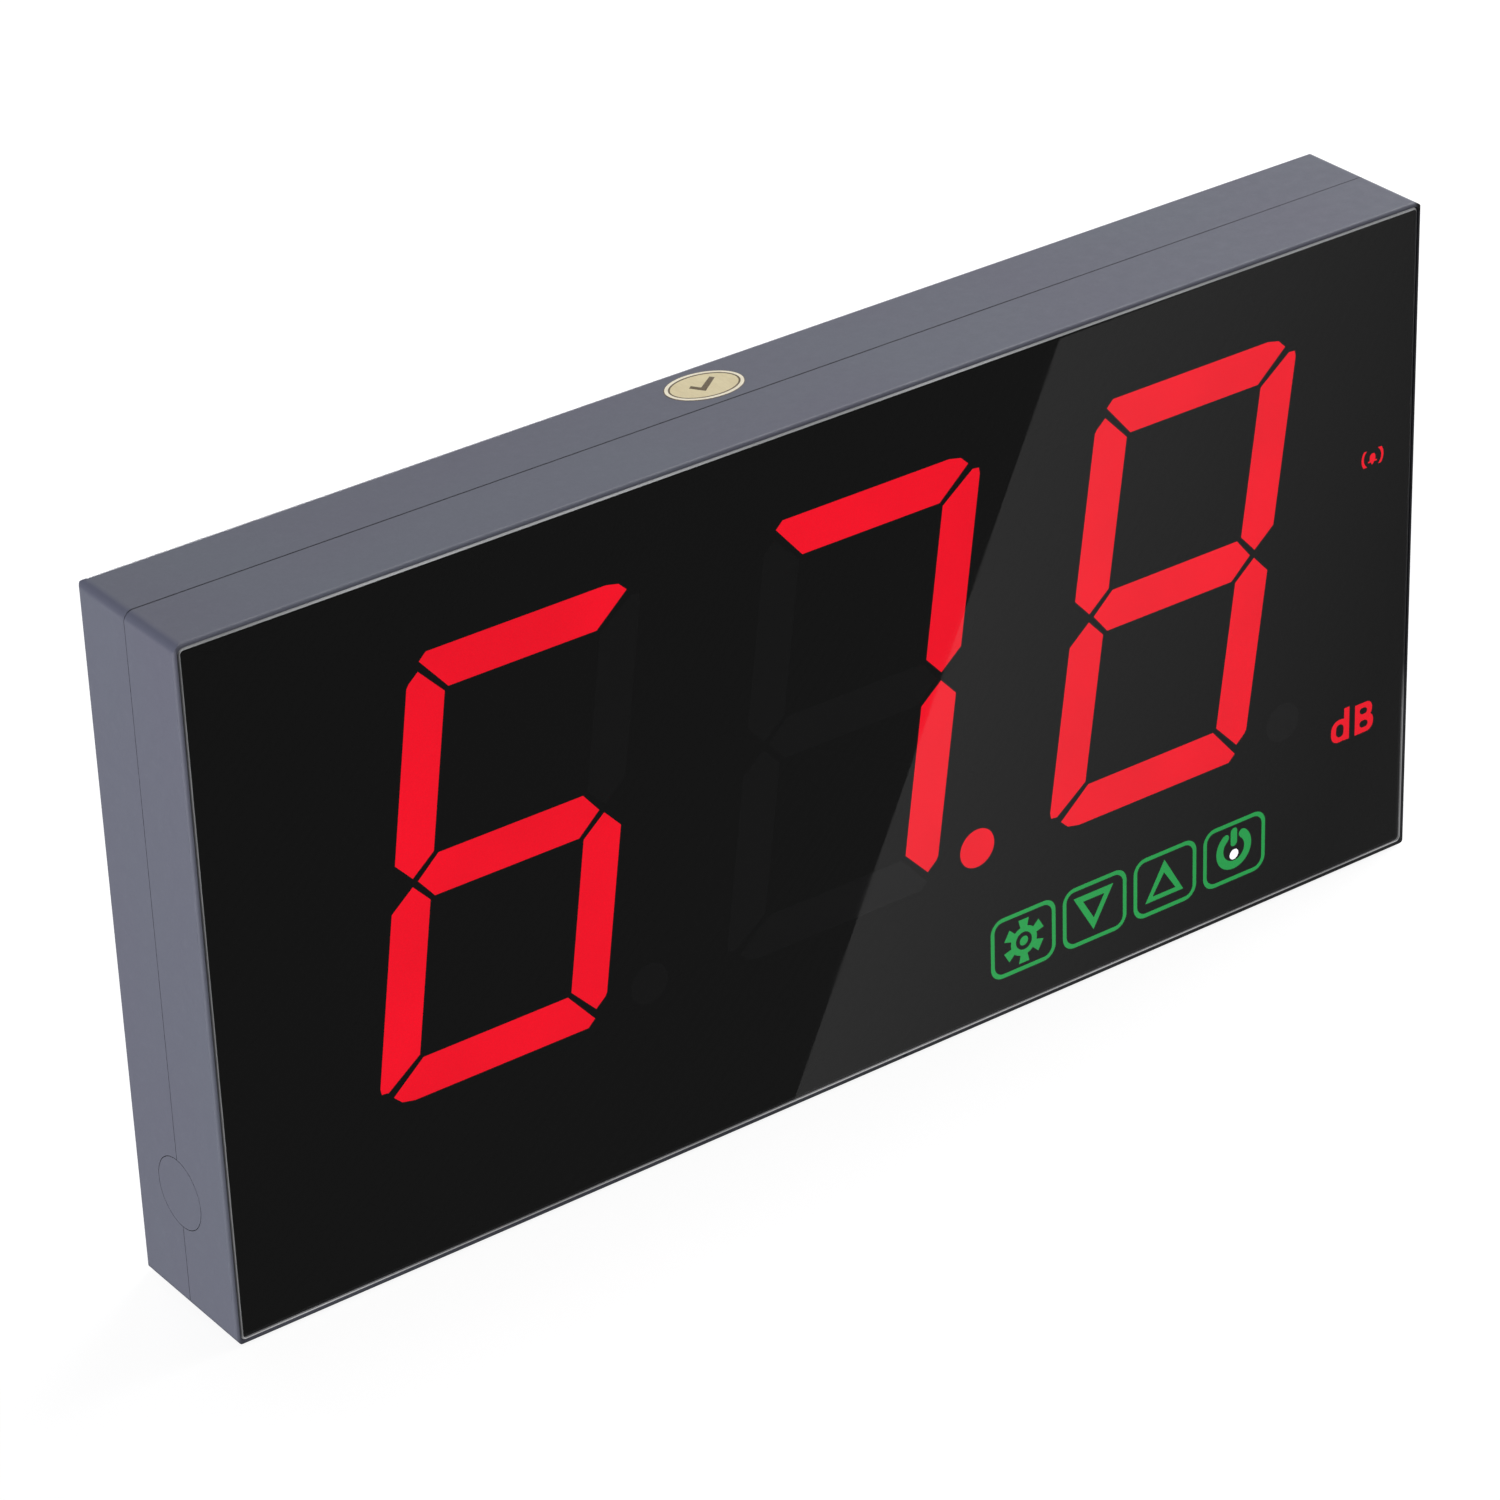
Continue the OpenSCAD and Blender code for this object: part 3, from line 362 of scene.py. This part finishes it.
def rotor_plastic():
    """Off-white rotor of the trimmer, with painted shade darkening its screwdriver cross below the top face."""
    m = Mat("rotor_plastic")
    fine = m.noise(1900.0, 3.0, 0.6)
    face = m.mix(m.span(fine, 0.0, 1.0), (0.50, 0.50, 0.46), (0.58, 0.58, 0.54))
    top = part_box("trimmer_rotor")[1].y
    x, y, z = m.xyz()
    # painted shade: everything below the top face, the screwdriver cross, is darkened
    col = m.mix(m.span(y, 0.0, 1.0, top - 0.00040, top - 0.00010), (0.10, 0.10, 0.09), face)
    return m.set(Base_Color=col, Roughness=m.span(fine, 0.38, 0.50), Normal=m.bump(fine, 0.2, 0.00002)).m


for sub in frame["record"]["subparts"]:
    o = NODES[sub["node"]]
    mat = MATS[sub["material_slot"]]
    if not o.data.materials:
        o.data.materials.append(mat)
    for i in range(len(o.data.materials)):
        o.data.materials[i] = mat
NODES["trimmer_rotor"].data.materials[0] = rotor_plastic()


# ---------------------------------------------------------------- mesh helpers
def rounded_rect(w, h, r, n=12):
    """Outline of a round-cornered rectangle in X and Z about its middle, going anticlockwise from the lower right."""
    pts = []
    for cx, cz, a0 in ((w / 2 - r, -h / 2 + r, -90), (w / 2 - r, h / 2 - r, 0), (-w / 2 + r, h / 2 - r, 90),
                       (-w / 2 + r, -h / 2 + r, 180)):
        for i in range(n + 1):
            a = math.radians(a0 + 90.0 * i / n)
            pts.append((cx + r * math.cos(a), cz + r * math.sin(a)))
    return pts


def piece(name, bm, mats, body, replaces=(), smooth=35.0):
    bmesh.ops.recalc_face_normals(bm, faces=bm.faces)
    me = bpy.data.meshes.new(name)
    bm.to_mesh(me)
    bm.free()
    for m in mats:
        me.materials.append(m)
    me.polygons.foreach_set("use_smooth", [True] * len(me.polygons))
    o = bpy.data.objects.new(name, me)
    scene.collection.objects.link(o)
    me.set_sharp_from_angle(angle=math.radians(smooth))
    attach(o, body)
    if replaces:
        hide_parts(*replaces)
    return o


def loft(bm, rings, mat=0):
    """Closed rings of points joined by quads. Returns the vertices ring by ring."""
    vs = [[bm.verts.new(p) for p in ring] for ring in rings]
    for a, b in zip(vs, vs[1:]):
        n = len(a)
        for i in range(n):
            f = bm.faces.new((a[i], a[(i + 1) % n], b[(i + 1) % n], b[i]))
            f.material_index = mat
    return vs


# ---------------------------------------------------------------- front panel, with a polished edge
def front_panel():
    lo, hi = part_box("front_panel")
    w, h = hi.x - lo.x, hi.z - lo.z
    cx, cz, y0, y1 = (lo.x + hi.x) / 2, (lo.z + hi.z) / 2, lo.y, hi.y
    prof = [(1.20, 0.0), (0.58, 0.0), (0.52, 0.010), (0.06, 0.20), (0.015, 0.24), (0.0, 0.32),
            (0.0, 1.86), (0.03, 1.95), (0.14, 2.0), (1.20, 2.0)]
    rings = []
    for inset, dy in prof:
        pts = rounded_rect(w - 2 * inset * MM, h - 2 * inset * MM, max(0.3, 1.6 - inset) * MM, 14)
        rings.append([(cx + x, y0 + dy * MM * (y1 - y0) / 0.002, cz + z) for x, z in pts])
    bm = bmesh.new()
    vs = loft(bm, rings, 1)
    n = len(vs[0])
    for i, f in enumerate(bm.faces):          # the flat margin inside the polished edge is clear sheet too
        if i // n in (0, len(rings) - 2):
            f.material_index = 0
    for ring in (vs[0], vs[-1]):
        bm.faces.new(ring).material_index = 0
    return piece("front_panel_sheet", bm, [MATS["smoked_acrylic"], EDGE], "case", ["front_panel"])


front_panel()


# ---------------------------------------------------------------- inspection sticker
def sticker():
    lo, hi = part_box("inspection_sticker")
    c = (lo + hi) / 2
    z0, z1 = lo.z, hi.z
    a, b, turn, n = 11.25 * MM, 7.9 * MM, math.radians(-7), 96
    ca, sa = math.cos(turn), math.sin(turn)

    def ring(ka, kb, z):
        out = []
        for i in range(n):
            t = 2 * math.pi * i / n
            x, y = ka * math.cos(t), kb * math.sin(t)
            out.append((c.x + x * ca - y * sa, c.y + x * sa + y * ca, z))
        return out

    t = z1 - z0
    # outside in: edge in brown ink as a painted shadow round the sticker, raised cream rim, printed line, field
    steps = [(0.0, 0.0), (0.0, 0.55), (0.20, 0.92), (0.40, 1.0), (1.15, 1.0), (1.28, 0.80), (1.68, 0.80), (1.80, 0.9)]
    bm = bmesh.new()
    rings = [ring(a - d * MM, b - d * MM, z0 + k * t) for d, k in steps]
    vs = [[bm.verts.new(p) for p in r] for r in rings]
    for j, (ra, rb) in enumerate(zip(vs, vs[1:])):
        for i in range(n):
            f = bm.faces.new((ra[i], ra[(i + 1) % n], rb[(i + 1) % n], rb[i]))
            # the two outermost steps, the edge, take the brown ink: a painted shadow
            f.material_index = 2 if j < 2 else 1 if j < 4 else 2 if j < 6 else 0
    bm.faces.new(vs[0]).material_index = 1
    bm.faces.new(vs[-1]).material_index = 0

    # a plain tick mark, printed in the middle
    def place(x, y, z):
        return (c.x + x * MM * ca - y * MM * sa, c.y + x * MM * sa + y * MM * ca, z)

    tick = [(-4.3, 0.5), (-3.2, 1.5), (-1.3, -0.7), (3.7, 3.9), (4.7, 2.8), (-1.3, -3.1)]
    zt = z0 + 0.84 * t
    low = [bm.verts.new(place(x, y, zt)) for x, y in tick]
    top = [bm.verts.new(place(x * 0.985, y * 0.985, z1)) for x, y in tick]
    for i in range(len(tick)):
        j = (i + 1) % len(tick)
        bm.faces.new((low[i], low[j], top[j], top[i])).material_index = 2
    bm.faces.new(top).material_index = 2
    bm.faces.new(list(reversed(low))).material_index = 2
    return piece("inspection_sticker_label", bm, [MATS["sticker_film"], STICKER_RIM, STICKER_INK], "case",
                 ["inspection_sticker"], 30.0)


sticker()


# ---------------------------------------------------------------- woven gauze in the microphone port
def gauze():
    lo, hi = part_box("microphone_gauze")
    c = (lo + hi) / 2
    r = (hi.z - lo.z) / 2 - 0.00002
    t = (hi.x - lo.x) / 2
    wire, pitch = t * 0.48, 0.00075
    bm = bmesh.new()
    k = int(r / pitch)

    def tube(path, rad):
        rings = []
        for i, p in enumerate(path):
            d = (path[min(i + 1, len(path) - 1)] - path[max(i - 1, 0)]).normalized()
            u = d.cross(Vector((1, 0, 0))).normalized()
            v = d.cross(u).normalized()
            rings.append([p + rad * (math.cos(q) * u + math.sin(q) * v) for q in (2 * math.pi * s / 6 for s in range(6))])
        vs = [[bm.verts.new(q) for q in ring] for ring in rings]
        for a, b in zip(vs, vs[1:]):
            for i in range(6):
                bm.faces.new((a[i], a[(i + 1) % 6], b[(i + 1) % 6], b[i]))
        bm.faces.new(vs[0])
        bm.faces.new(list(reversed(vs[-1])))

    for way in (0, 1):
        for i in range(-k, k + 1):
            off = (i + 0.0) * pitch
            half = math.sqrt(max(0.0, (r - 0.0002) ** 2 - off * off))
            if half < pitch:
                continue
            steps = max(4, int(2 * half / pitch * 4))
            path = []
            for s in range(steps + 1):
                q = -half + 2 * half * s / steps
                lift = math.cos(math.pi * q / pitch) * (1 if i % 2 else -1) * (1 if way else -1) * (t - wire) * 0.92
                path.append(Vector((c.x + lift, c.y + (q if way else off), c.z + (off if way else q))))
            tube(path, wire)
    return piece("microphone_gauze_weave", bm, [MATS["gauze_steel"]], "case", ["microphone_gauze"], 80.0)


gauze()


# ---------------------------------------------------------------- floor, light
def floor():
    m = Mat("studio_floor")
    n = m.noise(3.0, 2.0)
    m.set(Base_Color=m.mix(m.span(n, 0.0, 1.0), (0.195, 0.195, 0.197), (0.212, 0.212, 0.214)), Roughness=0.9,
          Emission_Color=(1.0, 1.0, 1.0), Emission_Strength=0.88)
    m.p.inputs["Specular IOR Level"].default_value = 0.1
    bm = bmesh.new()
    bmesh.ops.create_grid(bm, x_segments=2, y_segments=2, size=8.0)
    me = bpy.data.meshes.new("floor")
    bm.to_mesh(me)
    bm.free()
    me.materials.append(m.m)
    o = bpy.data.objects.new("floor", me)
    o.location = (0, 0, -0.0004)
    scene.collection.objects.link(o)
    o.visible_glossy = False
    o.visible_diffuse = False
    o.visible_transmission = False


floor()


def area(name, pos, target, size, watts, colour=(1, 1, 1), size_y=None, spread=math.pi):
    d = bpy.data.lights.new(name, "AREA")
    d.shape = "RECTANGLE"
    d.size, d.size_y = size, size_y or size
    d.energy = watts
    d.color = colour
    d.spread = spread
    o = bpy.data.objects.new(name, d)
    o.location = pos
    o.rotation_mode = "QUATERNION"
    o.rotation_quaternion = (Vector(target) - Vector(pos)).to_track_quat("-Z", "Y")
    scene.collection.objects.link(o)
    o.visible_camera = False
    return o


area("top_soft", (1.75, 0.5, 2.2), (0.1, 0, 0.1), 1.9, 63.0)
area("left_soft", (-2.7, -0.5, 0.35), (0, 0, 0.1), 1.3, 98.0)
area("right_fill", (2.2, -0.8, 1.2), (0, 0, 0.1), 1.6, 6.0)
area("right_side", (2.5, 0.65, 0.17), (0.2, 0, 0.1), 1.1, 40.0, size_y=0.25)
area("rear_fill", (0.3, 2.6, 0.17), (0, 0, 0.1), 1.6, 60.0, size_y=0.25)


def reflection_card():
    """A dim card below and in front, whose left edge crosses the panel's reflection as one slanting line."""
    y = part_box("front_panel")[0].y
    mirror_eye = Vector((eye.x, 2 * y - eye.y, eye.z))
    p_top = Vector((0.0724, y, 0.2017))
    p_low = Vector((-0.0217, y, 0.0027))
    mid = (p_top + p_low) / 2
    out = (mid - mirror_eye).normalized()
    dist = 1.1

    def on_plane(p):
        d = (p - mirror_eye).normalized()
        k = ((mid + out * dist - mirror_eye).dot(out)) / d.dot(out)
        return mirror_eye + d * k

    a, b = on_plane(p_low), on_plane(p_top)
    up = (b - a).normalized()
    side = up.cross(out).normalized()
    if (on_plane(p_low + Vector((0.1, 0, 0))) - a).dot(side) < 0:
        side = -side
    width, height = 0.70, 1.6
    centre = (a + b) / 2 + side * width / 2
    d = bpy.data.lights.new("card", "AREA")
    d.shape = "RECTANGLE"
    d.size, d.size_y = width, height
    d.energy = math.pi * width * height       # radiance 1 where the emission strength below is 1
    d.use_nodes = True
    nt = d.node_tree
    em = next(n for n in nt.nodes if n.type == "EMISSION")
    geo = nt.nodes.new("ShaderNodeNewGeometry")
    sep = nt.nodes.new("ShaderNodeSeparateXYZ")
    nt.links.new(geo.outputs["Parametric"], sep.inputs[0])
    fade = nt.nodes.new("ShaderNodeMapRange")
    for k, v in (("From Min", 0.0), ("From Max", 0.27), ("To Min", 0.37), ("To Max", 0.09)):
        fade.inputs[k].default_value = v
    nt.links.new(sep.outputs["X"], fade.inputs["Value"])
    nt.links.new(fade.outputs["Result"], em.inputs["Strength"])
    o = bpy.data.objects.new("card", d)
    z = out                                   # the light shines along its own -Z, back to the panel
    x = side
    yv = z.cross(x).normalized()
    o.matrix_world = Matrix.Translation(centre) @ Matrix((x, yv, z)).transposed().to_4x4()
    scene.collection.objects.link(o)
    o.visible_camera = False
    o.visible_diffuse = False


reflection_card()

world = bpy.data.worlds.new("studio")
world.use_nodes = True
world.node_tree.nodes["Background"].inputs[0].default_value = (1.0, 1.0, 1.0, 1.0)
world.node_tree.nodes["Background"].inputs[1].default_value = 0.165
scene.world = world
